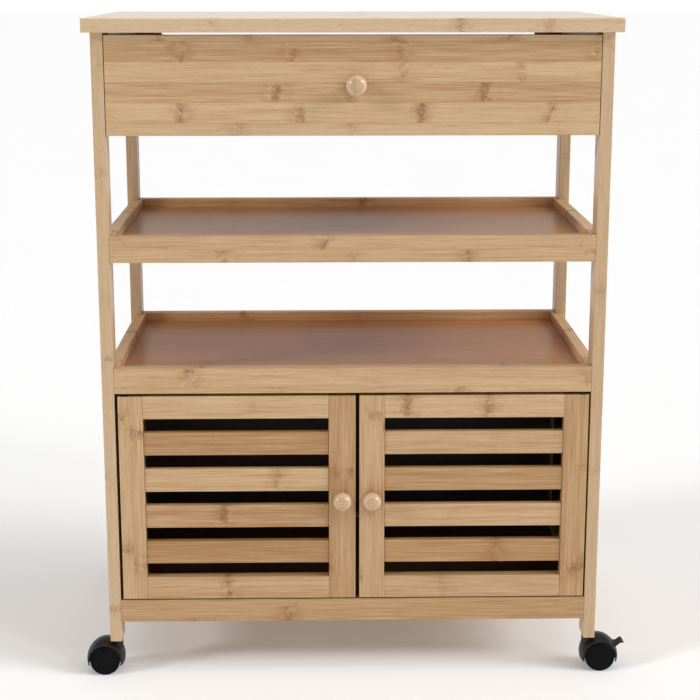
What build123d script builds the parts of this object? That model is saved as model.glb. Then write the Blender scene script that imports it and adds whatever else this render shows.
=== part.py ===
from build123d import *
import math
import os

# Rolling kitchen cart in laminated bamboo: worktop, drawer, two open trays, a two-door cabinet and
# four swivelling twin-wheel casters. Millimetres, +Z up, +X to the right and -Y towards the front.
# The origin is on the floor, under the middle of the whole cart's box.

# ---- Driving dimensions -----------------------------------------------------------------------

# worktop
top_width = 670
top_depth = 370
top_thickness = 17.5
overall_height = 869
top_easing = 1.5

# leg frame
frame_width = 650
frame_depth = 350
leg_width = 15.5
leg_depth = 32
leg_bottom = 47.5
rail_thickness = 15
side_rail_lap = 5
easing = 1.0
panel_easing = 0.5

# heights as (bottom, top)
drawer_front_z = (724, 848.4)
upper_tray_z = (562.7, 597)
lower_tray_z = (390.6, 424.6)
base_rail_z = (75.5, 106.5)
door_z = (108, 386.8)
bay_back_rail_z = (745, 830)

# trays and cabinet panels
tray_depth = 12.5
tray_panel_thickness = 5
cabinet_floor_drop = 8
cabinet_floor_thickness = 6
cabinet_side_thickness = 6
cabinet_side_inset = 1.5
cabinet_back_thickness = 4
cabinet_back_inset = 5
corner_block_leg = 36
corner_block_height = 20

# drawer
drawer_front_width = 617.4
drawer_box_width = 584
drawer_box_depth = 300
drawer_board = 12
drawer_box_z = (738, 828)
drawer_bottom_z = (741, 745)
drawer_closed_gap = 0.6
slide_centre_z = 783
slide_setback = 5
slide_length = 292
slide_sheet = 1.2
channel_height = 36
channel_depth = 9
runner_height = 32
runner_depth = 10.6

# doors as (left edge, right edge); the doors meet a little right of the middle
left_door_x = (-305.6, 3)
right_door_x = (8, 307.2)
hinge_stile_width = 32
left_meeting_stile_width = 35
right_meeting_stile_width = 33
door_rail_height = 30.3
slat_height = 31
slat_count = 4
slat_setback = 2
slat_thickness = 10

# door pivots and catches
pivot_from_edge = 8
pivot_from_front = 5
pivot_radius = 2
pivot_reach = 8
pivot_in_rail = 12
bush_radius = 3.5
bush_length = 9
bush_flange_radius = 4.6
bush_flange = 1
strike_z = (366, 384)
strike_width = 24
strike_thickness = 1
strike_easing = 0.3
magnet_gap = 0.5
magnet_depth = 13
magnet_z = (366, 404)
magnet_foot_height = 12.4

# knobs
knob_projection = 24.5
drawer_knob_x = 3.5
drawer_knob_rise = 1
drawer_knob_radius = 13
door_knob_radius = 12
knob_head_half_depth = 9.5
knob_neck_radius = 6
knob_foot_radius = 8
knob_foot = 1.5
knob_screw_radius = 2
knob_screw_reach = 10
screw_head_radius = 4
screw_head = 2.5
screw_head_rounding = 1
screw_tip_room = 1
screw_slot_width = 0.8
screw_slot_length = 6
screw_slot_depth = 1

# frame bolts
bolt_radius = 3
bolt_head_radius = 5.2
bolt_head = 3.2
bolt_head_sink = 0.6
bolt_head_clearance = 0.3
bolt_in_rail = 20
bolt_tip_room = 2
bolt_socket_radius = 2.3
bolt_socket = 2

# casters
wheel_radius = 20
caster_trail = 16
stem_radius = 3.5
stem_in_leg = 30
stem_bottom = 24
stem_end_room = 1
stem_flange = 0.7
stem_flange_radius = 6.5
axle_radius = 2.5
axle_half_length = 15
axle_end_room = 0.5
hood_half_width = 17
hood_crown_radius = 25.5
hood_edge_radius = 22.8
hood_wall = 1.8
hood_skirt_drop = 6.5
web_half_width = 5.4
boss_radius = 7.3
boss_bottom = 32
boss_top = 46.4
wheel_inner_face = 6
wheel_outer_face = 19.5
wheel_rim_face = 18.3
wheel_rim_rounding = 2.5
wheel_inner_bevel = 1
wheel_groove_radius = 16.8
wheel_groove = 0.7
wheel_groove_width = 0.5
wheel_cap_radius = 13

# brake lever, as points of the caster's side view: the axle is the origin and +x is along the trail
lever_pivot = (9.95, 8.35)
lever_hub_radius = 3.1
lever_top_line = [(20, 14.9), (24.4, 14.8), (28.2, 17.7), (31.4, 18.8)]
lever_under_line = [(33.9, 16.2), (31.9, 16.3), (28.8, 15.9), (25.4, 12.9), (22.4, 11.2)]
lever_arm = [(7.95, 10.75), (15.6, 15), (19.6, 12.6), (12.35, 6.35)]

# openings for the lever, and its brake shoe, as (radius, degrees) round the axle
lever_shoe = [(21.3, 31), (21.3, 46)]
hood_window = [(20.4, 15), (31, 15), (31, 46), (20.4, 46)]
hood_slot = [(9, 0), (24, 8), (26, 35), (24, 62), (9, 85)]
lever_arm_half_width = 2.2
lever_slot_half_width = 2.6
lever_half_width = 7.4
lever_window_half_width = 8
trunnion_radius = 1.5
trunnion_half_length = 5.2

# clearances on the radius, and the gap that seats touching pieces
running_clearance = 0.05
seat_clearance = 0.02

# ---- Derived dimensions -----------------------------------------------------------------------

top_overhang = (top_depth - frame_depth) / 2
front = knob_projection - (knob_projection + frame_depth + top_overhang) / 2
back = front + frame_depth
rail_back = front + rail_thickness
back_rail_front = back - rail_thickness
leg_outer = frame_width / 2
leg_inner = leg_outer - leg_width
leg_middle = leg_outer - leg_width / 2
front_leg_y = front + leg_depth / 2
back_leg_y = back - leg_depth / 2
top_underside = overall_height - top_thickness
side_rail_inner = leg_inner - side_rail_lap
side_rail_outer = side_rail_inner + rail_thickness
pivot_y = front + pivot_from_front
knob_head_middle = knob_projection - knob_head_half_depth
door_knob_z = sum(door_z) / 2
drawer_knob_z = sum(drawer_front_z) / 2 + drawer_knob_rise
SIDES = {"left": -1, "right": 1}
ENDS = {"front": front_leg_y, "back": back_leg_y}

os.makedirs("parts", exist_ok=True)


# ---- Building blocks --------------------------------------------------------------------------


def write(builder, label):
    """Names a finished piece and writes it as its own STEP file."""
    builder.part.label = label
    export_step(builder.part, f"parts/{label}.step")


def mirrored(span, side):
    """A span given for the right side, on the side asked for: 1 is right and -1 is left."""
    return span if side > 0 else (-span[1], -span[0])


def span_box(x, y, z, mode=Mode.ADD):
    """Box that fills three (low, high) spans."""
    spans = (x, y, z)
    middle = tuple((low + high) / 2 for low, high in spans)
    with Locations(middle):
        Box(*(high - low for low, high in spans), mode=mode)


def rod(start, direction, radius, length, mode=Mode.ADD):
    """Cylinder that starts at a point and runs along a direction."""
    with Locations(Plane(origin=start, z_dir=direction)):
        Cylinder(radius, length, align=(Align.CENTER, Align.CENTER, Align.MIN), mode=mode)


def bars(label, boxes, rounding=easing):
    """One piece, or a set of identical separate pieces, of rectangular stock with eased edges."""
    with BuildPart() as piece:
        for x, y, z in boxes:
            span_box(x, y, z)
        fillet(piece.edges(), rounding)
    write(piece, label)


# ---- Worktop and legs -------------------------------------------------------------------------


def bolt_heights(end):
    """Heights of the bolts through one leg: each rail's middle, and the drawer bay's at the back."""
    rails = [base_rail_z, lower_tray_z, upper_tray_z]
    if end == "back":
        rails.append(bay_back_rail_z)
    return [sum(rail) / 2 for rail in rails]


def bolt_y(end):
    """Depth of the bolts: the middle of the front or of the back rails."""
    return front + rail_thickness / 2 if end == "front" else back - rail_thickness / 2


def make_leg(side_name, end):
    """Upright from the caster to the worktop, with bolt holes through it and a socket for the stem."""
    side = SIDES[side_name]
    middle_y = ENDS[end]
    with BuildPart() as leg:
        span_box(
            mirrored((leg_inner, leg_outer), side),
            (middle_y - leg_depth / 2, middle_y + leg_depth / 2),
            (leg_bottom, top_underside),
        )
        fillet(leg.edges(), easing)
        for z in bolt_heights(end):
            mouth = (side * leg_outer, bolt_y(end), z)
            inward = (-side, 0, 0)
            rod(mouth, inward, bolt_radius + seat_clearance, leg_width, Mode.SUBTRACT)
            head_bore = bolt_head_radius + bolt_head_clearance
            rod(mouth, inward, head_bore, bolt_head + bolt_head_sink, Mode.SUBTRACT)
        socket = (side * leg_middle, middle_y, leg_bottom)
        rod(socket, (0, 0, 1), stem_radius + seat_clearance, stem_in_leg, Mode.SUBTRACT)
    write(leg, f"leg_{end}_{side_name}")


def make_frame_bolts():
    """Socket-head bolts that hold the front and back rails between the legs."""
    with BuildPart() as bolts:
        for side in SIDES.values():
            inward = (-side, 0, 0)
            for end in ENDS:
                for z in bolt_heights(end):
                    head = (side * (leg_outer - bolt_head_sink), bolt_y(end), z)
                    shank_length = leg_width - bolt_head_sink + bolt_in_rail
                    rod(head, inward, bolt_head_radius, bolt_head)
                    rod(head, inward, bolt_radius, shank_length)
                    socket_plane = Plane(origin=head, z_dir=inward)
                    with BuildSketch(socket_plane):
                        RegularPolygon(bolt_socket_radius, 6)
                    extrude(amount=bolt_socket, mode=Mode.SUBTRACT)
    write(bolts, "frame_bolts")


bars(
    "top_board",
    [((-top_width / 2, top_width / 2), (front - top_overhang, back + top_overhang),
      (top_underside, overall_height))],
    top_easing,
)
for side_name in SIDES:
    for end in ENDS:
        make_leg(side_name, end)
make_frame_bolts()


# ---- Rails ------------------------------------------------------------------------------------


def make_cross_rail(label, end, z, pivot_holes=None):
    """Rail between two legs, with a bolt hole in each end and, at the front, the doors' pin holes."""
    y = (front, rail_back) if end == "front" else (back_rail_front, back)
    bolt_hole = bolt_in_rail + bolt_tip_room
    with BuildPart() as rail:
        span_box((-leg_inner, leg_inner), y, z)
        fillet(rail.edges(), easing)
        for side in SIDES.values():
            mouth = (side * leg_inner, bolt_y(end), sum(z) / 2)
            rod(mouth, (-side, 0, 0), bolt_radius + seat_clearance, bolt_hole, Mode.SUBTRACT)
        for hole, direction in pivot_holes or []:
            rod(hole, direction, pivot_radius + seat_clearance, pivot_in_rail, Mode.SUBTRACT)
    write(rail, label)


def make_side_pair(label, z, lap_front=rail_back):
    """The left and right rails of one level, each notched round its front and its back leg."""
    inner_lap = (side_rail_inner, leg_inner)
    full_width = (side_rail_inner, side_rail_outer)
    with BuildPart() as pair:
        for side in SIDES.values():
            span_box(mirrored(full_width, side), (front + leg_depth, back - leg_depth), z)
            span_box(mirrored(inner_lap, side), (lap_front, back_rail_front), z)
        long_edges = pair.edges().filter_by(Axis.Y)
        fillet(long_edges.filter_by(lambda edge: edge.length > leg_depth), easing)
    write(pair, label)


def make_panel(label, top, thickness):
    """Thin board that closes the inside of a rail frame, flush with the rails' inner faces."""
    x = (-side_rail_inner, side_rail_inner)
    bars(label, [(x, (rail_back, back_rail_front), (top - thickness, top))], panel_easing)


pivot_x = {"left": left_door_x[0] + pivot_from_edge, "right": right_door_x[1] - pivot_from_edge}
top_pivot_holes = [((x, pivot_y, lower_tray_z[0]), (0, 0, 1)) for x in pivot_x.values()]
bottom_pivot_holes = [((x, pivot_y, base_rail_z[1]), (0, 0, -1)) for x in pivot_x.values()]

make_cross_rail("upper_tray_front_rail", "front", upper_tray_z)
make_cross_rail("upper_tray_back_rail", "back", upper_tray_z)
make_side_pair("upper_tray_side_rails", upper_tray_z)
make_panel("upper_tray_panel", upper_tray_z[1] - tray_depth, tray_panel_thickness)

make_cross_rail("lower_tray_front_rail", "front", lower_tray_z, top_pivot_holes)
make_cross_rail("lower_tray_back_rail", "back", lower_tray_z)
make_side_pair("lower_tray_side_rails", lower_tray_z)
make_panel("lower_tray_panel", lower_tray_z[1] - tray_depth, tray_panel_thickness)

make_cross_rail("base_front_rail", "front", base_rail_z, bottom_pivot_holes)
make_cross_rail("base_back_rail", "back", base_rail_z)
make_side_pair("base_side_rails", base_rail_z)
make_panel("cabinet_floor", base_rail_z[1] - cabinet_floor_drop, cabinet_floor_thickness)

make_cross_rail("drawer_bay_back_rail", "back", bay_back_rail_z)
bay_sides_z = (drawer_front_z[0], top_underside)
make_side_pair("drawer_bay_sides", bay_sides_z, rail_back + drawer_closed_gap)


# ---- Cabinet shell ----------------------------------------------------------------------------

cabinet_z = (base_rail_z[1], lower_tray_z[0])
side_panel_outer = side_rail_outer - cabinet_side_inset
side_panel_x = (side_panel_outer - cabinet_side_thickness, side_panel_outer)
bars(
    "cabinet_sides",
    [(mirrored(side_panel_x, side), (front + leg_depth, back - leg_depth), cabinet_z)
     for side in SIDES.values()],
    panel_easing,
)
back_panel_front = back_rail_front + cabinet_back_inset
back_panel_y = (back_panel_front, back_panel_front + cabinet_back_thickness)
bars("cabinet_back", [((-leg_inner, leg_inner), back_panel_y, cabinet_z)], panel_easing)


def make_corner_blocks():
    """Triangular blocks under the worktop, in the two rear corners of the drawer bay."""
    with BuildPart() as blocks:
        with BuildSketch(Plane.XY.offset(top_underside - corner_block_height)):
            for side in SIDES.values():
                corner = (side * side_rail_inner, back_rail_front)
                along_back = (side * (side_rail_inner - corner_block_leg), back_rail_front)
                along_side = (side * side_rail_inner, back_rail_front - corner_block_leg)
                Polygon(corner, along_back, along_side, align=None)
        extrude(amount=corner_block_height)
        fillet(blocks.edges().filter_by(Axis.Z), easing)
    write(blocks, "top_corner_blocks")


make_corner_blocks()


# ---- Knobs ------------------------------------------------------------------------------------


def make_knob(label, x, z, head_radius):
    """Turned knob on a short neck, with a pilot hole for its screw in the back."""
    seat = (x, front, z)
    with BuildPart() as knob:
        with BuildSketch(Plane(origin=seat)):
            with Locations((0, -knob_head_middle)):
                Ellipse(head_radius, knob_head_half_depth)
            with Locations((0, -knob_head_middle / 2)):
                Rectangle(2 * knob_neck_radius, knob_head_middle)
            with Locations((0, -knob_foot / 2)):
                Rectangle(2 * knob_foot_radius, knob_foot)
            split(bisect_by=Plane.YZ, keep=Keep.TOP)
        revolve(axis=Axis(seat, (0, 1, 0)))
        rod(seat, (0, -1, 0), knob_screw_radius + seat_clearance, knob_screw_reach, Mode.SUBTRACT)
    write(knob, label)


def make_knob_screw(label, x, z):
    """Pan-head screw from behind the front or door into the knob."""
    start = (x, rail_back, z)
    with BuildPart() as screw:
        rod(start, (0, 1, 0), screw_head_radius, screw_head)
        fillet(screw.edges().filter_by(GeomType.CIRCLE).sort_by(Axis.Y)[-1], screw_head_rounding)
        shank_length = rail_thickness + knob_screw_reach - screw_tip_room
        rod(start, (0, -1, 0), knob_screw_radius, shank_length)
        slot_x = (x - screw_slot_width / 2, x + screw_slot_width / 2)
        slot_y = (rail_back + screw_head - screw_slot_depth, rail_back + screw_head)
        slot_z = (z - screw_slot_length / 2, z + screw_slot_length / 2)
        span_box(slot_x, slot_y, slot_z, Mode.SUBTRACT)
    write(screw, label)


# ---- Drawer -----------------------------------------------------------------------------------

box_half = drawer_box_width / 2
box_back = rail_back + drawer_box_depth
box_inner_half = box_half - drawer_board


def make_drawer_front():
    """Wide front board, with the knob's screw hole."""
    with BuildPart() as board:
        half = drawer_front_width / 2
        span_box((-half, half), (front, rail_back), drawer_front_z)
        fillet(board.edges(), easing)
        hole = (drawer_knob_x, front, drawer_knob_z)
        hole_radius = knob_screw_radius + seat_clearance
        rod(hole, (0, 1, 0), hole_radius, rail_thickness, Mode.SUBTRACT)
    write(board, "drawer_front")


def make_slide_pair(label, web_x, flange_tip_x, height, y):
    """Left and right sheet-steel C sections, open sideways, between a web and their flange tips."""
    z = (slide_centre_z - height / 2, slide_centre_z + height / 2)
    flange_x = (min(web_x[0], flange_tip_x), max(web_x[1], flange_tip_x))
    with BuildPart() as pair:
        for side in SIDES.values():
            span_box(mirrored(web_x, side), y, z)
            span_box(mirrored(flange_x, side), y, (z[0], z[0] + slide_sheet))
            span_box(mirrored(flange_x, side), y, (z[1] - slide_sheet, z[1]))
    write(pair, label)


make_drawer_front()
bars(
    "drawer_sides",
    [(mirrored((box_inner_half, box_half), side), (rail_back, box_back), drawer_box_z)
     for side in SIDES.values()],
)
bars(
    "drawer_back",
    [((-box_inner_half, box_inner_half), (box_back - drawer_board, box_back),
      (drawer_bottom_z[1], drawer_box_z[1]))],
)
bars(
    "drawer_bottom",
    [((-box_inner_half, box_inner_half), (rail_back, box_back), drawer_bottom_z)],
    panel_easing,
)
make_knob("drawer_knob", drawer_knob_x, drawer_knob_z, drawer_knob_radius)
make_knob_screw("drawer_knob_screw", drawer_knob_x, drawer_knob_z)

slide_y = (rail_back + slide_setback, rail_back + slide_setback + slide_length)
make_slide_pair(
    "drawer_slide_channels",
    (side_rail_inner - slide_sheet, side_rail_inner),
    side_rail_inner - channel_depth,
    channel_height,
    slide_y,
)
make_slide_pair(
    "drawer_slide_runners",
    (box_half, box_half + slide_sheet),
    box_half + runner_depth,
    runner_height,
    slide_y,
)


# ---- Doors ------------------------------------------------------------------------------------


def make_stile(label, x, pivot=None, knob_x=None):
    """Upright of a door: the hinge stile has a bush hole at each end, the other the knob's hole."""
    with BuildPart() as stile:
        span_box(x, (front, rail_back), door_z)
        fillet(stile.edges(), easing)
        if pivot is not None:
            radius = bush_radius + seat_clearance
            rod((pivot, pivot_y, door_z[0]), (0, 0, 1), radius, bush_length, Mode.SUBTRACT)
            rod((pivot, pivot_y, door_z[1]), (0, 0, -1), radius, bush_length, Mode.SUBTRACT)
        if knob_x is not None:
            radius = knob_screw_radius + seat_clearance
            rod((knob_x, front, door_knob_z), (0, 1, 0), radius, rail_thickness, Mode.SUBTRACT)
    write(stile, label)


def make_bushes(label, pivot):
    """Flanged plastic bushes in the two ends of a hinge stile, which turn on the pivot pins."""
    with BuildPart() as bushes:
        for end_z, outward in ((door_z[0], -1), (door_z[1], 1)):
            rod((pivot, pivot_y, end_z), (0, 0, -outward), bush_radius, bush_length)
            rod((pivot, pivot_y, end_z), (0, 0, outward), bush_flange_radius, bush_flange)
            mouth = (pivot, pivot_y, end_z + outward * bush_flange)
            bore = pivot_radius + running_clearance
            rod(mouth, (0, 0, -outward), bore, bush_length + bush_flange, Mode.SUBTRACT)
    write(bushes, label)


def make_door(name, x, meeting_width):
    """Slatted door: two stiles, two rails, slats set back between them, and its small fittings."""
    side = SIDES[name]
    if side < 0:
        hinge_x = (x[0], x[0] + hinge_stile_width)
        meeting_x = (x[1] - meeting_width, x[1])
        inside_x = (hinge_x[1], meeting_x[0])
    else:
        hinge_x = (x[1] - hinge_stile_width, x[1])
        meeting_x = (x[0], x[0] + meeting_width)
        inside_x = (meeting_x[1], hinge_x[0])
    knob_x = sum(meeting_x) / 2

    make_stile(f"{name}_door_hinge_stile", hinge_x, pivot=pivot_x[name])
    make_stile(f"{name}_door_meeting_stile", meeting_x, knob_x=knob_x)

    low, high = door_z
    rail_spans = [(low, low + door_rail_height), (high - door_rail_height, high)]
    bars(f"{name}_door_rails", [(inside_x, (front, rail_back), span) for span in rail_spans])

    free_height = high - low - 2 * door_rail_height - slat_count * slat_height
    slot_height = free_height / (slat_count + 1)
    slat_y = (front + slat_setback, front + slat_setback + slat_thickness)
    first_slat = low + door_rail_height + slot_height
    slat_starts = [first_slat + i * (slat_height + slot_height) for i in range(slat_count)]
    bars(f"{name}_door_slats", [(inside_x, slat_y, (z, z + slat_height)) for z in slat_starts])

    make_knob(f"{name}_door_knob", knob_x, door_knob_z, door_knob_radius)
    make_knob_screw(f"{name}_door_knob_screw", knob_x, door_knob_z)
    make_bushes(f"{name}_door_bushes", pivot_x[name])
    strike_x = (knob_x - strike_width / 2, knob_x + strike_width / 2)
    strike_y = (rail_back, rail_back + strike_thickness)
    bars(f"{name}_door_strike", [(strike_x, strike_y, strike_z)], strike_easing)
    return knob_x


def make_pivot_pins():
    """Steel pins in the rails above and below the doors, on the doors' turning axes."""
    length = pivot_in_rail + pivot_reach
    with BuildPart() as pins:
        for x in pivot_x.values():
            rod((x, pivot_y, door_z[0] + pivot_reach), (0, 0, -1), pivot_radius,
                length + door_z[0] - base_rail_z[1])
            rod((x, pivot_y, door_z[1] - pivot_reach), (0, 0, 1), pivot_radius,
                length + lower_tray_z[0] - door_z[1])
    write(pins, "door_pivot_pins")


def make_magnets(centres_x):
    """Magnet housings that hang from the back of the rail, one behind each door's free stile."""
    magnet_front = rail_back + strike_thickness + magnet_gap
    magnet_back = magnet_front + magnet_depth
    with BuildPart() as magnets:
        for middle in centres_x:
            x = (middle - strike_width / 2, middle + strike_width / 2)
            span_box(x, (magnet_front, magnet_back), magnet_z)
            span_box(x, (rail_back, magnet_back), (magnet_z[1] - magnet_foot_height, magnet_z[1]))
        fillet(magnets.edges().filter_by(Axis.Z).group_by(Axis.Y)[-1], easing)
    write(magnets, "door_magnets")


left_knob_x = make_door("left", left_door_x, left_meeting_stile_width)
right_knob_x = make_door("right", right_door_x, right_meeting_stile_width)
make_pivot_pins()
make_magnets([left_knob_x, right_knob_x])


# ---- Casters ----------------------------------------------------------------------------------


def wheel_axis(side, stem_y):
    """Middle of a caster's axle: at rest every caster trails outwards from its leg."""
    return (side * (leg_middle + caster_trail), stem_y, wheel_radius)


def side_view(points, side, axle):
    """Side-view points of a caster as (x, z) in a vertical plane, for a caster that trails to side."""
    return [(axle[0] + side * x, axle[2] + z) for x, z in points]


def polar(radius, degrees):
    """Side-view point at a radius from the axle and an angle above the trail's direction."""
    angle = math.radians(degrees)
    return (radius * math.cos(angle), radius * math.sin(angle))


def make_hood(label, side, stem_y, has_brake):
    """Crowned hood over both wheels, with a web between them that holds the axle and the stem."""
    axle = wheel_axis(side, stem_y)
    across = Axis(axle, (0, 1, 0))
    stem_x = side * leg_middle
    with BuildPart() as hood:
        with BuildSketch(Plane(origin=axle)):
            with BuildLine():
                inner_edge = hood_edge_radius - hood_wall
                inner_crown = hood_crown_radius - hood_wall
                ThreePointArc((hood_edge_radius, -hood_half_width), (hood_crown_radius, 0),
                              (hood_edge_radius, hood_half_width))
                Line((hood_edge_radius, hood_half_width), (inner_edge, hood_half_width))
                ThreePointArc((inner_edge, hood_half_width), (inner_crown, 0),
                              (inner_edge, -hood_half_width))
                Line((inner_edge, -hood_half_width), (hood_edge_radius, -hood_half_width))
            make_face()
        revolve(axis=across)
        web_start = (axle[0], stem_y - web_half_width, axle[2])
        rod(web_start, (0, 1, 0), hood_crown_radius - hood_wall / 2, 2 * web_half_width)
        skirt_plane = Plane.XY.offset(axle[2] - hood_skirt_drop)
        split(bisect_by=skirt_plane, keep=Keep.TOP)
        rod((stem_x, stem_y, boss_bottom), (0, 0, 1), boss_radius, boss_top - boss_bottom)
        for face in (-1, 1):
            pocket_start = (axle[0], stem_y + face * web_half_width, axle[2])
            rod(pocket_start, (0, face, 0), inner_edge, hood_half_width, Mode.SUBTRACT)
        bore = stem_radius + running_clearance
        rod((stem_x, stem_y, stem_bottom - stem_end_room), (0, 0, 1), bore, boss_top, Mode.SUBTRACT)
        axle_bore = axle_radius + running_clearance
        rod(web_start, (0, 1, 0), axle_bore, 2 * web_half_width, Mode.SUBTRACT)
        if has_brake:
            openings = ((hood_window, lever_window_half_width), (hood_slot, lever_slot_half_width))
            for outline, half_width in openings:
                points = [polar(radius, degrees) for radius, degrees in outline]
                with BuildSketch(Plane.XZ.offset(-stem_y)):
                    Polygon(*side_view(points, side, axle), align=None)
                extrude(amount=half_width, both=True, mode=Mode.SUBTRACT)
            trunnion = side_view([lever_pivot], side, axle)[0]
            start = (trunnion[0], stem_y - web_half_width, trunnion[1])
            hole = trunnion_radius + running_clearance
            rod(start, (0, 1, 0), hole, 2 * web_half_width, Mode.SUBTRACT)
    write(hood, label)


def make_wheelset(label, side, stem_y):
    """Two wheels pressed on one axle: flat treads, rounded rims and raised caps with sloping edges."""
    axle = wheel_axis(side, stem_y)
    across = Axis(axle, (0, 1, 0))
    rim_sag = wheel_rim_rounding * (1 - math.sqrt(0.5))
    with BuildPart() as wheels:
        for face in (-1, 1):
            with BuildSketch(Plane(origin=axle)):
                with BuildLine():
                    rim_start = (wheel_radius, face * (wheel_rim_face - wheel_rim_rounding))
                    rim_middle = (wheel_radius - rim_sag, face * (wheel_rim_face - rim_sag))
                    rim_end = (wheel_radius - wheel_rim_rounding, face * wheel_rim_face)
                    groove_floor = (wheel_groove_radius + wheel_groove_width,
                                    face * (wheel_rim_face - wheel_groove))
                    groove_inner = (wheel_groove_radius, face * wheel_rim_face)
                    Polyline((0, face * wheel_inner_face),
                             (wheel_radius - wheel_inner_bevel, face * wheel_inner_face),
                             (wheel_radius, face * (wheel_inner_face + wheel_inner_bevel)), rim_start)
                    ThreePointArc(rim_start, rim_middle, rim_end)
                    Polyline(rim_end, groove_floor, groove_inner,
                             (wheel_cap_radius, face * wheel_outer_face),
                             (0, face * wheel_outer_face), (0, face * wheel_inner_face))
                make_face()
            revolve(axis=across)
            bore_start = (axle[0], stem_y + face * wheel_inner_face, axle[2])
            bore_length = axle_half_length - wheel_inner_face + axle_end_room
            radius = axle_radius + seat_clearance
            rod(bore_start, (0, face, 0), radius, bore_length, Mode.SUBTRACT)
        axle_start = (axle[0], stem_y - axle_half_length, axle[2])
        rod(axle_start, (0, 1, 0), axle_radius, 2 * axle_half_length)
    write(wheels, label)


def make_brake_lever(label, side, stem_y):
    """Foot lever: a tab outside the hood, a shoe above both treads and an arm to its pivot."""
    axle = wheel_axis(side, stem_y)
    shoe_low, shoe_high = [polar(radius, degrees) for radius, degrees in lever_shoe]
    top_points = side_view([shoe_high, *lever_top_line], side, axle)
    under_points = side_view([*lever_under_line, shoe_low], side, axle)
    pivot_point = side_view([lever_pivot], side, axle)[0]
    side_plane = Plane.XZ.offset(-stem_y)
    with BuildPart() as lever:
        with BuildSketch(side_plane):
            with BuildLine():
                Spline(*top_points)
                Line(top_points[-1], under_points[0])
                Spline(*under_points)
                Line(under_points[-1], top_points[0])
            make_face()
        extrude(amount=lever_half_width, both=True)
        with BuildSketch(side_plane):
            Polygon(*side_view(lever_arm, side, axle), align=None)
            with Locations(pivot_point):
                Circle(lever_hub_radius)
        extrude(amount=lever_arm_half_width, both=True)
        start = (pivot_point[0], stem_y - trunnion_half_length, pivot_point[1])
        rod(start, (0, 1, 0), trunnion_radius, 2 * trunnion_half_length)
    write(lever, label)


def make_stems():
    """Steel stems pressed into the legs, each with a thin flange against the leg's end."""
    with BuildPart() as stems:
        for side in SIDES.values():
            for stem_y in ENDS.values():
                start = (side * leg_middle, stem_y, stem_bottom)
                rod(start, (0, 0, 1), stem_radius, leg_bottom + stem_in_leg - stem_bottom)
                flange = (side * leg_middle, stem_y, leg_bottom)
                rod(flange, (0, 0, -1), stem_flange_radius, stem_flange)
    write(stems, "caster_stems")


BRAKED = {("front", "right"), ("back", "left")}
make_stems()
for side_name, side in SIDES.items():
    for end, stem_y in ENDS.items():
        caster = f"caster_{end}_{side_name}"
        has_brake = (end, side_name) in BRAKED
        make_hood(f"{caster}_hood", side, stem_y, has_brake)
        make_wheelset(f"{caster}_wheelset", side, stem_y)
        if has_brake:
            make_brake_lever(f"{caster}_brake_lever", side, stem_y)
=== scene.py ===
import math
import random

import bmesh
import bpy
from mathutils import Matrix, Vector


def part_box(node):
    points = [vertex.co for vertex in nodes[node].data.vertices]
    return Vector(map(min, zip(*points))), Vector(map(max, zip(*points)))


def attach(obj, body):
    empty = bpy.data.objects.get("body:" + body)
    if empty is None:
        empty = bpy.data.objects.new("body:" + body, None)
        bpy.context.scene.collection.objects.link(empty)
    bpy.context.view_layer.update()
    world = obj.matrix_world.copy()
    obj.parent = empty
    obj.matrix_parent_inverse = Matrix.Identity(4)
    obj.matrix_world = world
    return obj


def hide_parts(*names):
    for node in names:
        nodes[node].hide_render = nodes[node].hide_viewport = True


# Looks of the rolling bamboo cart: laminated bamboo, black caster plastic and plated steel, in a plain
# white studio. Metres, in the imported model's frame: -Y is the front and +Z is up.

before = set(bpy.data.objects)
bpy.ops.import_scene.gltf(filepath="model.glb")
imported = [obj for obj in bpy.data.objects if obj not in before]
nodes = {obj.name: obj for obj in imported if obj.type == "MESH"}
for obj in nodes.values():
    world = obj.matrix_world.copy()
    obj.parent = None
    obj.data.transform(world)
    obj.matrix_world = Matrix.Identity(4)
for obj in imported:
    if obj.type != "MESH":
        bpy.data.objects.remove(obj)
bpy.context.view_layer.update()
draw = random.Random(7)

MM = 0.001
X, Y, Z = 0, 1, 2


# ---- Shader graphs ----------------------------------------------------------------------------


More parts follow.
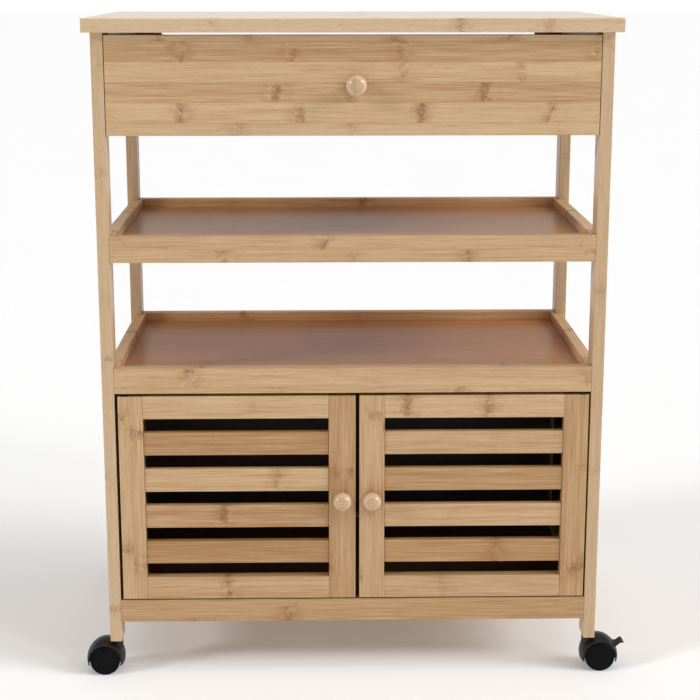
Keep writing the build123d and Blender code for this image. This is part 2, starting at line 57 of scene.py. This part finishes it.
class Graph:
    """The node graph of a material or the world: each method adds a node and returns its output."""

    def __init__(self, owner):
        owner.use_nodes = True
        self.owner = owner
        self.tree = owner.node_tree
        self.tree.nodes.clear()

    def add(self, kind, inputs, **settings):
        """Adds a node; each input is a socket to link or a value to set."""
        node = self.tree.nodes.new(kind)
        for name, value in settings.items():
            setattr(node, name, value)
        for name, value in inputs.items():
            if isinstance(value, bpy.types.NodeSocket):
                self.tree.links.new(value, node.inputs[name])
            else:
                node.inputs[name].default_value = value
        return node

    def calc(self, operation, first, second=0.0, third=0.0):
        """Arithmetic on numbers or sockets."""
        return self.add("ShaderNodeMath", {0: first, 1: second, 2: third}, operation=operation).outputs[0]

    def fade(self, value, start, end, low=0.0, high=1.0):
        """Smooth step: low before start, high after end."""
        inputs = {"Value": value, "From Min": start, "From Max": end, "To Min": low, "To Max": high}
        return self.add("ShaderNodeMapRange", inputs, interpolation_type="SMOOTHSTEP").outputs["Result"]

    def mix(self, factor, first, second):
        """Blends two colours."""
        inputs = {"Factor": factor, 6: opaque(first), 7: opaque(second)}
        return self.add("ShaderNodeMix", inputs, data_type="RGBA").outputs[2]

    def combine(self, x, y, z):
        return self.add("ShaderNodeCombineXYZ", {0: x, 1: y, 2: z}).outputs[0]

    def split(self, vector):
        return self.add("ShaderNodeSeparateXYZ", {0: vector}).outputs

    def noise(self, vector, scale=1.0, detail=2.0, roughness=0.5):
        inputs = {"Vector": vector, "Scale": scale, "Detail": detail, "Roughness": roughness}
        return self.add("ShaderNodeTexNoise", inputs).outputs["Fac"]

    def chance(self, first, second):
        """Three random numbers that depend only on two numbers, as a colour."""
        inputs = {"Vector": self.combine(first, second, 0.0)}
        return self.add("ShaderNodeTexWhiteNoise", inputs, noise_dimensions="3D").outputs["Color"]

    def position(self):
        """The point in the piece's own frame, so a pattern goes with its piece."""
        return self.add("ShaderNodeTexCoord", {}).outputs["Object"]

    def facing(self):
        """The way the surface looks, in the piece's own frame."""
        return self.add("ShaderNodeTexCoord", {}).outputs["Normal"]

    def position_of_sky(self):
        """The direction of a ray that reaches the sky."""
        return self.add("ShaderNodeTexCoord", {}).outputs["Generated"]

    def finish(self, colour, roughness, height=None, depth=0.0, **sockets):
        """Closes the graph with a shader, and a bump of the given depth in metres."""
        inputs = {"Base Color": opaque(colour), "Roughness": roughness, **sockets}
        if height is not None:
            bump = self.add("ShaderNodeBump", {"Height": height, "Strength": 1.0, "Distance": depth})
            inputs["Normal"] = bump.outputs["Normal"]
        surface = self.add("ShaderNodeBsdfPrincipled", inputs).outputs["BSDF"]
        self.add("ShaderNodeOutputMaterial", {"Surface": surface})
        return self.owner


def new_shader(name):
    """An empty material's graph."""
    return Graph(bpy.data.materials.new(name))


def opaque(colour):
    """A colour of three numbers with its alpha, or a socket as it is."""
    return colour if isinstance(colour, bpy.types.NodeSocket) else (*colour, 1.0)


# ---- Bamboo -----------------------------------------------------------------------------------

FINISHES = {
    # name: (light colour, dark colour, roughness, strength of node marks, strength of seams)
    "board": ((0.605, 0.415, 0.228), (0.335, 0.163, 0.050), 0.38, 1.0, 0.40),
    # the worktop finish is glossier than the board, and its lighter colours are painted light standing in
    # for the brighter light on the top face
    "worktop": ((0.790, 0.600, 0.395), (0.590, 0.385, 0.205), 0.18, 0.8, 0.30),
    # the shelf finish is a lighter, more orange copy of the board finish for the tray rails under the
    # drawer: its colours are painted bounce light in their shade
    "shelf": ((0.740, 0.470, 0.235), (0.440, 0.215, 0.075), 0.38, 1.0, 0.40),
    "leg": ((0.568, 0.404, 0.244), (0.425, 0.254, 0.123), 0.40, 0.7, 0.25),
    "panel": ((0.520, 0.238, 0.082), (0.370, 0.150, 0.046), 0.30, 0.2, 0.10),
    "ply": ((0.520, 0.350, 0.200), (0.380, 0.220, 0.105), 0.50, 0.3, 0.20),
    "knob": ((0.670, 0.485, 0.310), (0.510, 0.320, 0.170), 0.22, 0.4, 0.15),
}
NODE_BROWN = (0.200, 0.088, 0.030)
SEAM_BROWN = (0.200, 0.100, 0.040)
FLECK_BROWN = (0.300, 0.150, 0.060)
PORE_BROWN = (0.160, 0.085, 0.040)

# the marks of the culm's nodes
NODE_SPACING = 140.0 * MM
NODE_HALF_LENGTH = 9.0 * MM
NODE_WOBBLE = 14.0 * MM
WOBBLE_COUNT = 95.0             # bends per metre in the marks and in the fibres round them
CURL_COUNTS = (170.0, 260.0)    # curls of a mark per metre, along and across the grain
CURL_WIDTH = 0.07
BETWEEN_CURLS = 0.10
PATCH_COUNT = 75.0              # denser and thinner patches of a mark per metre
PATCH_STRENGTH = 0.80
MARK_BETWEEN_PATCHES = 0.30
HALO_STRENGTH = 0.45

# the fibres: how many per metre along and across the grain, and how much they change the tone
FIBRE_COUNTS = (14.0, 900.0)
FIBRE_STRENGTH = 2.1
STREAK_COUNTS = (1.8, 120.0)
STREAK_STRENGTH = 0.9
FLECK_COUNTS = (90.0, 1200.0)
FLECK_STRENGTH = 0.40
GRAIN_DEPTH = 0.03 * MM

SEAM_HALF_WIDTH = 0.35 * MM
BUNDLE_COUNT = 1100.0           # cut fibre bundles per metre on the ends
END_DARKENING = 0.35

# two colours of painted shade for each panel's faces inside the cabinet, standing in for the shade there
DARK_PAINTED_SHADE = ((0.028, 0.014, 0.007), (0.050, 0.026, 0.013))
BROWN_PAINTED_SHADE = ((0.150, 0.070, 0.032), (0.220, 0.110, 0.050))
SHADE_MOTTLE_COUNT = 900.0


def strip_pattern(shader, across, start, width, tones):
    """Strips side by side: the number of the strip, its tone, and 1 in a seam fading to 0 beside it."""
    strip = shader.calc("DIVIDE", shader.calc("SUBTRACT", across, start), width)
    from_seam = shader.calc("MULTIPLY", shader.calc("PINGPONG", strip, 0.5), width)
    seam = shader.fade(from_seam, 0.3 * SEAM_HALF_WIDTH, SEAM_HALF_WIDTH, 1.0, 0.0)
    ramp = shader.add("ShaderNodeValToRGB", {"Fac": shader.calc("DIVIDE", strip, len(tones))})
    ramp.color_ramp.interpolation = "CONSTANT"
    stops = ramp.color_ramp.elements
    for number, tone in enumerate(tones):
        stop = stops[number] if number < 2 else stops.new(number / len(tones))
        stop.position = number / len(tones)
        stop.color = (tone, tone, tone, 1.0)
    if len(tones) == 1:
        stops.remove(stops[1])
    return shader.calc("FLOOR", strip), ramp.outputs["Color"], seam


def grain_vector(shader, along, across, through, counts):
    """A place for a noise with so many features per metre along the grain and across it."""
    return shader.combine(shader.calc("MULTIPLY", along, counts[0]),
                          shader.calc("MULTIPLY", across, counts[1]),
                          shader.calc("MULTIPLY", through, counts[1]))


def node_marks(shader, place, axes, strip, seed, mark_strength):
    """The marks of the culm's nodes: one in each length of a strip, at a random place and strength.

    axes are the place along the grain, across the strips and through them. Returns the mark, the
    darker halo round it, and how far it pushes the fibres aside.
    """
    along, across, through = axes
    strip_chance = shader.split(shader.chance(strip, seed))
    shifted = shader.calc("ADD", shader.calc("DIVIDE", along, NODE_SPACING), strip_chance[0])
    length_number = shader.calc("FLOOR", shifted)
    length_seed = shader.calc("ADD", shader.calc("MULTIPLY", strip, 7.0), seed)
    length_chance = shader.split(shader.chance(length_number, length_seed))
    middle = shader.calc("MULTIPLY_ADD", length_chance[0], 0.5, 0.25)
    offset = shader.calc("SUBTRACT", shader.calc("FRACT", shifted), middle)
    wobble = shader.noise(place, WOBBLE_COUNT, 4.0, 0.65)
    wobble = shader.calc("MULTIPLY", shader.calc("SUBTRACT", wobble, 0.5), NODE_WOBBLE)
    from_node = shader.calc("ABSOLUTE", shader.calc("MULTIPLY_ADD", offset, NODE_SPACING, wobble))
    near_node = shader.fade(from_node, 0.0, 3 * NODE_HALF_LENGTH, 1.0, 0.0)
    on_node = shader.fade(from_node, 0.1 * NODE_HALF_LENGTH, NODE_HALF_LENGTH, 1.0, 0.0)
    curls = shader.noise(grain_vector(shader, along, across, through, CURL_COUNTS), 1.0, 3.0, 0.6)
    from_curl = shader.calc("ABSOLUTE", shader.calc("SUBTRACT", curls, 0.5))
    curls = shader.fade(from_curl, 0.0, CURL_WIDTH, 1.0, BETWEEN_CURLS)
    patches = shader.fade(shader.noise(place, PATCH_COUNT, 1.0), 0.35, 0.60)
    strength = shader.fade(length_chance[1], 0.15, 1.0, 0.0, mark_strength)
    mark = shader.calc("MULTIPLY", shader.calc("MULTIPLY", on_node, curls), strength)
    density = shader.calc("MULTIPLY_ADD", patches, PATCH_STRENGTH, MARK_BETWEEN_PATCHES)
    mark = shader.calc("MULTIPLY", mark, density)
    halo = shader.calc("MULTIPLY", shader.calc("MULTIPLY", near_node, strength), patches)
    swirl = shader.calc("MULTIPLY", shader.calc("MULTIPLY", near_node, wobble), strength)
    return mark, halo, swirl


def shifted_tone(shader, tone, pattern, strength):
    """The tone made darker where a noise is above its middle and lighter where it is below."""
    return shader.calc("MULTIPLY_ADD", shader.calc("SUBTRACT", pattern, 0.5), strength, tone)


def bamboo_layers(shader, finish, grain, strips, start, width, tones, seed):
    """Laminated bamboo: strips side by side along one axis, their fibres along another.

    Each strip has its own tone, from 0 for the lightest to 1 for the darkest, fine fibres, darker
    streaks, and the marks of the culm's nodes. Faces across the grain show cut fibre ends.
    Returns the colour, the roughness and the height.
    """
    light, dark, roughness, mark_strength, seam_strength = FINISHES[finish]
    place = shader.position()
    sides = shader.split(place)
    along, across, through = sides[grain], sides[strips], sides[3 - grain - strips]
    strip, tone, seam = strip_pattern(shader, across, start, width, tones)
    axes = (along, across, through)
    mark, halo, swirl = node_marks(shader, place, axes, strip, seed, mark_strength)

    # fibres, which swirl a little round each node mark
    fibre_across = shader.calc("ADD", across, swirl)

    def fibre_noise(counts, detail):
        """Noise drawn out along the fibres."""
        return shader.noise(grain_vector(shader, along, fibre_across, through, counts), 1.0, detail, 0.55)

    fibres = fibre_noise(FIBRE_COUNTS, 4.0)
    streaks = fibre_noise(STREAK_COUNTS, 3.0)
    flecks = shader.fade(fibre_noise(FLECK_COUNTS, 1.0), 0.60, 0.72)

    # colour
    shade = shifted_tone(shader, tone, streaks, STREAK_STRENGTH)
    shade = shifted_tone(shader, shade, fibres, FIBRE_STRENGTH)
    shade = shader.calc("MULTIPLY_ADD", halo, HALO_STRENGTH, shade)
    shade = shader.fade(shade, -0.3, 1.3)
    colour = shader.mix(shade, light, dark)
    colour = shader.mix(shader.calc("MULTIPLY", flecks, FLECK_STRENGTH), colour, FLECK_BROWN)
    colour = shader.mix(mark, colour, NODE_BROWN)
    colour = shader.mix(shader.calc("MULTIPLY", seam, seam_strength), colour, SEAM_BROWN)

    # cut fibre ends on the faces across the grain
    facing = shader.split(shader.facing())[grain]
    end_face = shader.fade(shader.calc("ABSOLUTE", facing), 0.72, 0.86)
    bundles = shader.noise(shader.combine(across, through, 0.0), BUNDLE_COUNT, 2.0, 0.5)
    pores = shader.fade(bundles, 0.50, 0.66, 0.05, 0.55)
    ends = shader.mix(pores, shader.mix(END_DARKENING, colour, dark), PORE_BROWN)
    ends = shader.mix(shader.calc("MULTIPLY", seam, seam_strength), ends, SEAM_BROWN)
    colour = shader.mix(end_face, colour, ends)

    # fibres and marks are a little rougher and stand up, and seams are grooves
    gloss = shader.calc("MULTIPLY_ADD", fibres, 0.16, roughness - 0.08)
    gloss = shader.calc("MULTIPLY_ADD", mark, 0.12, gloss)
    height = shader.calc("MULTIPLY_ADD", seam, -1.0, fibres)
    height = shader.calc("MULTIPLY_ADD", mark, 0.6, height)
    return colour, gloss, height


def bamboo(name, *lamination):
    """A laminated bamboo material."""
    shader = new_shader(name)
    colour, gloss, height = bamboo_layers(shader, *lamination)
    return shader.finish(colour, gloss, height, GRAIN_DEPTH)


def shade_lined(name, inward_axis, inward_side, painted_shade, *lamination):
    """A panel with a bamboo face, and dark brown painted shade on the side that looks into the cabinet.

    inward_side is -1 or 1 along the axis, or 0 where the inside is towards the middle of the cart.
    """
    shader = new_shader(name)
    colour, gloss, height = bamboo_layers(shader, *lamination)
    facing = shader.split(shader.facing())[inward_axis]
    if inward_side == 0:
        side = shader.calc("SIGN", shader.split(shader.position())[inward_axis])
        facing = shader.calc("MULTIPLY", facing, shader.calc("MULTIPLY", side, -1.0))
    else:
        facing = shader.calc("MULTIPLY", facing, float(inward_side))
    # the faces that look into the cabinet get painted shade, mottled by a noise
    shaded_inside = shader.fade(facing, 0.3, 0.6)
    shade_mottle = shader.noise(shader.position(), SHADE_MOTTLE_COUNT, 3.0, 0.6)
    colour = shader.mix(shaded_inside, colour, shader.mix(shade_mottle, *painted_shade))
    return shader.finish(colour, gloss, height, GRAIN_DEPTH)


def pitch(name, count, height):
    """How far it is, in mm, from one of a node's equal pieces to the next one up."""
    low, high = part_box(name)
    return ((high[Z] - low[Z]) / MM - height) / (count - 1)


# the strips of the frame's boards, in mm, and the pieces of a door, each with a tone of its own
STRIP = 25.2
SLAT_HEIGHT = 31.0
SLAT_PITCH = pitch("left_door_slats", 4, SLAT_HEIGHT)
SLAT_GAP = SLAT_PITCH - SLAT_HEIGHT
DOOR_RAIL_PITCH = pitch("left_door_rails", 2, 30.3)

# how each piece is laminated:
# (finish, grain axis, axis across the strips, strip width in mm, first strip's start above the
# piece's low corner in mm, the strips' tones from the low end or, for more strips, their range)
BOARDS = {
    "top_board": ("worktop", X, Y, 25.0, -0.05, (0.10, 0.50)),
    "drawer_front": ("board", X, Z, STRIP, -9.3, (0.14, 0.17, 0.48, 0.18, 0.58, 0.19)),
    "upper_tray_front_rail": ("board", X, Z, STRIP, -9.0, (0.30, 0.37)),
    # the tray rails under the drawer use the shelf finish, whose lighter colours are painted bounce light
    "upper_tray_back_rail": ("shelf", X, Z, STRIP, -14.0, (0.15, 0.25)),
    "lower_tray_front_rail": ("board", X, Z, STRIP, -17.0, (0.34, 0.26)),
    "lower_tray_back_rail": ("shelf", X, Z, STRIP, -6.0, (0.15, 0.25)),
    "base_front_rail": ("board", X, Z, STRIP, -20.0, (0.62, 0.70)),
    "base_back_rail": ("board", X, Z, STRIP, -11.0, (0.25, 0.34)),
    "drawer_bay_back_rail": ("board", X, Z, STRIP, -5.0, (0.19, 0.37)),
    "drawer_bay_sides": ("board", Y, Z, STRIP, -12.0, (0.19, 0.37)),
    "upper_tray_side_rails": ("shelf", Y, Z, STRIP, -8.0, (0.02, 0.10)),
    "lower_tray_side_rails": ("shelf", Y, Z, STRIP, -15.0, (0.04, 0.12)),
    "base_side_rails": ("board", Y, Z, STRIP, -10.0, (0.22, 0.31)),
    "top_corner_blocks": ("board", X, Y, 18.0, -4.0, (0.25, 0.37)),
    "leg_front_left": ("leg", Z, Y, 24.0, -8.0, (0.20, 0.30)),
    "leg_front_right": ("leg", Z, Y, 24.0, -8.0, (0.35, 0.30)),
    "leg_back_left": ("leg", Z, Y, 24.0, -8.0, (0.45, 0.40)),
    "leg_back_right": ("leg", Z, Y, 24.0, -8.0, (0.30, 0.45)),
    "drawer_sides": ("board", Y, Z, STRIP, -7.0, (0.19, 0.37)),
    "drawer_back": ("board", X, Z, STRIP, -12.0, (0.19, 0.37)),
    "left_door_hinge_stile": ("board", Z, X, STRIP, -10.0, (0.32, 0.38)),
    "left_door_meeting_stile": ("board", Z, X, STRIP, -18.0, (0.72, 0.62)),
    "left_door_rails": ("board", X, Z, DOOR_RAIL_PITCH, -5.0, (0.46, 0.23)),
    "right_door_hinge_stile": ("board", Z, X, STRIP, -9.0, (0.62, 0.56)),
    "right_door_meeting_stile": ("board", Z, X, STRIP, -20.0, (0.42, 0.38)),
    "right_door_rails": ("board", X, Z, DOOR_RAIL_PITCH, -5.0, (0.42, 0.22)),
    "left_door_slats": ("board", X, Z, SLAT_PITCH, -SLAT_GAP / 2, (0.92, 0.70, 0.25, 0.84)),
    "right_door_slats": ("board", X, Z, SLAT_PITCH, -SLAT_GAP / 2, (0.76, 0.38, 0.74, 0.42)),
    "upper_tray_panel": ("panel", X, Y, 80.0, 0.0, (0.3, 0.6)),
    "lower_tray_panel": ("panel", X, Y, 80.0, 0.0, (0.3, 0.6)),
    "drawer_bottom": ("ply", X, Y, 75.0, 0.0, (0.3, 0.6)),
}
# panels round the cabinet, with painted shade on their inner faces:
# (axis that looks inwards, its side or 0 for a pair, colours of the painted shade, how it is laminated)
SHADE_LINED = {
    "cabinet_sides": (X, 0, DARK_PAINTED_SHADE, ("ply", Z, Y, 71.5, 0.0, (0.3, 0.5))),
    "cabinet_back": (Y, -1, DARK_PAINTED_SHADE, ("ply", Z, X, 77.4, 0.0, (0.3, 0.5))),
    "cabinet_floor": (Z, 1, BROWN_PAINTED_SHADE, ("ply", X, Y, 80.0, 0.0, (0.3, 0.5))),
}


def strip_tones(values, count):
    """One tone for each strip: the values given or, for more strips, drawn from their range."""
    if len(values) >= count:
        return list(values[:count])
    low, high = min(values), max(values)
    return [draw.uniform(low, high) for _ in range(count)]


SEED_STEP = 3.7


def paint(name, material):
    """Gives a CAD node its finished material."""
    mesh = nodes[name].data
    mesh.materials.clear()
    mesh.materials.append(material)


def lamination(name, board, seed):
    """The arguments of bamboo_layers for one node."""
    finish, grain, strips, width, start, tones = board
    low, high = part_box(name)
    first = low[strips] + start * MM
    count = math.ceil((high[strips] - first) / (width * MM))
    return finish, grain, strips, first, width * MM, strip_tones(tones, count), seed


for number, (name, board) in enumerate(BOARDS.items()):
    paint(name, bamboo(f"bamboo_{name}", *lamination(name, board, number * SEED_STEP)))
for number, (name, (axis, side, painted_shade, board)) in enumerate(SHADE_LINED.items(), len(BOARDS)):
    layers = lamination(name, board, number * SEED_STEP)
    paint(name, shade_lined(f"lined_{name}", axis, side, painted_shade, *layers))


# ---- Metal and plastic ------------------------------------------------------------------------

# two colours for each finish of the steel
ZINC = ((0.640, 0.640, 0.650), (0.500, 0.495, 0.470))
BLACKENED = ((0.060, 0.060, 0.062), (0.035, 0.034, 0.033))
LINE_COUNTS = (25.0, 2600.0)    # drawing lines per metre, along and across them
CLOUD_COUNT = 140.0
LINE_DEPTH = 0.01 * MM

PLASTICS = {
    # name: (colour, worn colour, roughness, specular level, grains per metre, grain depth)
    "hood_nylon": ((0.006, 0.006, 0.006), (0.012, 0.012, 0.012), 0.36, 0.35, 2600.0, 0.02 * MM),
    "wheel_plastic": ((0.004, 0.004, 0.004), (0.008, 0.008, 0.008), 0.45, 0.07, 1800.0, 0.02 * MM),
    "bush_nylon": ((0.010, 0.010, 0.010), (0.020, 0.020, 0.020), 0.38, 0.30, 3200.0, 0.01 * MM),
    "magnet_case": ((0.230, 0.115, 0.055), (0.300, 0.170, 0.090), 0.36, 0.50, 2200.0, 0.02 * MM),
}
RUB_COUNT = 110.0


def steel(name, axis, finish=ZINC):
    """Plated or blackened steel, with fine drawing lines along one axis and a faint cloudy tarnish."""
    shader = new_shader(name)
    axes = shader.split(shader.position())
    counts = [LINE_COUNTS[1]] * 3
    counts[axis] = LINE_COUNTS[0]
    lines = shader.combine(*(shader.calc("MULTIPLY", axes[i], counts[i]) for i in range(3)))
    lines = shader.noise(lines, 1.0, 3.0, 0.6)
    cloud = shader.noise(shader.position(), CLOUD_COUNT, 4.0, 0.6)
    colour = shader.mix(shader.fade(cloud, 0.35, 0.70), *finish)
    gloss = shader.calc("MULTIPLY_ADD", lines, 0.20, 0.22)
    return shader.finish(colour, gloss, lines, LINE_DEPTH, Metallic=1.0)


def plastic(name):
    """Moulded plastic: a fine spark-eroded grain, and faintly paler where hands and dust rub it."""
    colour, worn, roughness, specular, grain_count, grain_depth = PLASTICS[name]
    shader = new_shader(name)
    place = shader.position()
    grain = shader.noise(place, grain_count, 3.0, 0.6)
    rub = shader.noise(place, RUB_COUNT, 5.0, 0.65)
    tint = shader.mix(shader.fade(rub, 0.48, 0.80), colour, worn)
    gloss = shader.calc("MULTIPLY_ADD", grain, 0.14, roughness - 0.07)
    gloss = shader.calc("MULTIPLY_ADD", rub, 0.10, gloss)
    return shader.finish(tint, gloss, grain, grain_depth, **{"Specular IOR Level": specular})


CASTERS = [f"{end}_{side}" for end in ("front", "back") for side in ("left", "right")]
BRAKED_CASTERS = ("front_right", "back_left")
hood_black = plastic("hood_nylon")
wheel_black = plastic("wheel_plastic")
bush_black = plastic("bush_nylon")
for caster in CASTERS:
    paint(f"caster_{caster}_hood", hood_black)
    paint(f"caster_{caster}_wheelset", wheel_black)
for caster in BRAKED_CASTERS:
    paint(f"caster_{caster}_brake_lever", hood_black)
for side in ("left", "right"):
    paint(f"{side}_door_bushes", bush_black)
    paint(f"{side}_door_strike", steel(f"zinc_{side}_strike", X))
    paint(f"{side}_door_knob_screw", steel(f"zinc_{side}_screw", Y))
paint("door_magnets", plastic("magnet_case"))
paint("frame_bolts", steel("zinc_bolts", X))
paint("drawer_slide_channels", steel("zinc_channels", Y))
paint("drawer_slide_runners", steel("zinc_runners", Y))
paint("drawer_knob_screw", steel("zinc_drawer_screw", Y))
paint("door_pivot_pins", steel("blackened_pins", Z, BLACKENED))
paint("caster_stems", steel("zinc_stems", Z))


# ---- Knobs ------------------------------------------------------------------------------------

KNOB_SEGMENTS = 72
KNOB_NECK = [
    # (distance from the seat, radius) of the foot and the hollow neck, in mm
    (0.0, 0.0), (0.0, 7.6), (0.3, 8.0), (1.1, 8.0), (1.6, 7.5), (2.6, 6.6), (3.8, 6.1), (5.2, 6.0),
]
KNOB_HEAD_STEPS = 22
ON_AXIS = 0.01
KNOB_STRIP = 4.2 * MM
KNOB_TONES = (0.2, 0.4)
FIRST_KNOB_SEED = 201


def knob_profile(radius, projection):
    """The outline from the seat to the crown, in mm: the neck, then a slightly flattened ball."""
    neck_depth, neck_radius = KNOB_NECK[-1]
    half_depth = (projection - neck_depth) / (1 + math.sqrt(1 - (neck_radius / radius) ** 2))
    middle = projection - half_depth
    start = math.pi - math.asin(neck_radius / radius)
    profile = list(KNOB_NECK)
    for step in range(1, KNOB_HEAD_STEPS + 1):
        angle = start * (1 - step / KNOB_HEAD_STEPS)
        profile.append((middle + half_depth * math.cos(angle), radius * math.sin(angle)))
    return profile


def turned_mesh(name, seat, profile):
    """A closed mesh turned from a profile that starts and ends on its axis, towards the front."""
    mesh = bmesh.new()
    rings = []
    for depth, ring_radius in profile:
        count = KNOB_SEGMENTS if ring_radius > ON_AXIS else 1
        ring = []
        for segment in range(count):
            angle = 2 * math.pi * segment / KNOB_SEGMENTS
            offset = Vector((ring_radius * math.cos(angle), -depth, ring_radius * math.sin(angle)))
            ring.append(mesh.verts.new(seat + offset * MM))
        rings.append(ring)
    for inner, outer in zip(rings, rings[1:]):
        for segment in range(KNOB_SEGMENTS):
            after = (segment + 1) % KNOB_SEGMENTS
            corners = [inner[segment % len(inner)], inner[after % len(inner)],
                       outer[after % len(outer)], outer[segment % len(outer)]]
            face = mesh.faces.new(dict.fromkeys(corners))
            face.smooth = True
    bmesh.ops.recalc_face_normals(mesh, faces=mesh.faces)
    data = bpy.data.meshes.new(name)
    mesh.to_mesh(data)
    mesh.free()
    return data


def turned_knob(node, body, seed):
    """A ball-shaped wooden knob turned on a lathe, with the grain from front to back."""
    low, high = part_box(node)
    seat = Vector(((low[X] + high[X]) / 2, high[Y], (low[Z] + high[Z]) / 2))
    radius = (high[X] - low[X]) / 2 / MM
    projection = (high[Y] - low[Y]) / MM
    data = turned_mesh(f"turned_{node}", seat, knob_profile(radius, projection))
    knob = bpy.data.objects.new(f"turned_{node}", data)
    bpy.context.scene.collection.objects.link(knob)
    count = math.ceil(2 * radius * MM / KNOB_STRIP) + 1
    tones = strip_tones(KNOB_TONES, count)
    data.materials.append(bamboo(f"bamboo_{node}", "knob", Y, X, low[X], KNOB_STRIP, tones, seed))
    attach(knob, body)
    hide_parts(node)


for seed, body in enumerate(("drawer", "left_door", "right_door"), FIRST_KNOB_SEED):
    turned_knob(f"{body}_knob", body, float(seed))


# ---- Studio -----------------------------------------------------------------------------------

# light from all round, stronger near the horizon and from the ceiling, as radiance
HORIZON_LIGHT = 0.98
HORIZON_TOP = 0.40
DOME_LIGHT = 0.27
CEILING_EDGE = 0.60
CEILING_LIGHT = 0.50
# what the camera sees behind the floor
BACKDROP_LIGHT = 1.05

FLOOR_HALF_WIDTH = 40.0
FLOOR_COLOUR = (0.93, 0.93, 0.93)
FLOOR_GLOW = 0.09
WHITE = (1.0, 1.0, 1.0, 1.0)

# the camera stands a little higher than the worktop and looks down and slightly to the right
CAMERA_PLACE = (-0.0403, -2.0836, 0.9188)
CAMERA_DIP = math.radians(11.97)
CAMERA_TURN = math.radians(-1.077)
CAMERA_LENS = 78.71
CAMERA_SENSOR = 36.0
CAMERA_SHIFT = -0.07
CAMERA_REACH = 200.0

world = bpy.data.worlds.new("studio")
bpy.context.scene.world = world
sky = Graph(world)
height = sky.split(sky.position_of_sky())[Z]
dome = sky.fade(sky.calc("ABSOLUTE", height), 0.0, HORIZON_TOP, HORIZON_LIGHT, DOME_LIGHT)
dome = sky.calc("ADD", dome, sky.fade(height, CEILING_EDGE, 1.0, 0.0, CEILING_LIGHT))
dome = sky.add("ShaderNodeBackground", {"Strength": dome})
backdrop = sky.add("ShaderNodeBackground", {"Strength": BACKDROP_LIGHT})
for background in (dome, backdrop):
    background.inputs["Color"].default_value = WHITE
seen = sky.add("ShaderNodeLightPath", {}).outputs["Is Camera Ray"]
studio = sky.add("ShaderNodeMixShader", {"Fac": seen, 1: dome.outputs[0], 2: backdrop.outputs[0]})
sky.add("ShaderNodeOutputWorld", {"Surface": studio.outputs[0]})

floor_mesh = bpy.data.meshes.new("floor")
corner_signs = ((-1, -1), (1, -1), (1, 1), (-1, 1))
corners = [(x * FLOOR_HALF_WIDTH, y * FLOOR_HALF_WIDTH, 0) for x, y in corner_signs]
floor_mesh.from_pydata(corners, [], [(0, 1, 2, 3)])
floor = bpy.data.objects.new("floor", floor_mesh)
bpy.context.scene.collection.objects.link(floor)
shader = new_shader("floor")
cloud = shader.noise(shader.position(), 3.0, 4.0, 0.5)
rough = shader.fade(cloud, 0.3, 0.7, 0.75, 0.85)
glow = {"Emission Color": WHITE, "Emission Strength": FLOOR_GLOW}
floor_mesh.materials.append(shader.finish(FLOOR_COLOUR, rough, **glow))


def sun(name, azimuth, elevation, strength, softness):
    """A distant soft light, angles in degrees; azimuth 0 is the front and 90 the right-hand side."""
    lamp = bpy.data.lights.new(name, "SUN")
    lamp.energy = strength
    lamp.angle = math.radians(softness)
    light = bpy.data.objects.new(name, lamp)
    turn = math.radians(azimuth)
    rise = math.radians(elevation)
    level = math.cos(rise)
    towards = Vector((math.sin(turn) * level, -math.cos(turn) * level, math.sin(rise)))
    light.rotation_mode = "QUATERNION"
    light.rotation_quaternion = towards.to_track_quat("Z", "Y")
    bpy.context.scene.collection.objects.link(light)


sun("key", azimuth=50, elevation=36, strength=0.35, softness=10)
sun("side", azimuth=76, elevation=28, strength=1.9, softness=25)
sun("fill", azimuth=-66, elevation=26, strength=1.1, softness=12)

camera_data = bpy.data.cameras.new("camera")
camera_data.lens = CAMERA_LENS
camera_data.sensor_width = CAMERA_SENSOR
camera_data.shift_y = CAMERA_SHIFT
camera_data.clip_end = CAMERA_REACH
camera = bpy.data.objects.new("camera", camera_data)
camera.location = CAMERA_PLACE
camera.rotation_euler = (math.pi / 2 - CAMERA_DIP, 0.0, CAMERA_TURN)
bpy.context.scene.collection.objects.link(camera)
bpy.context.scene.camera = camera
bpy.context.scene.view_settings.view_transform = "Standard"
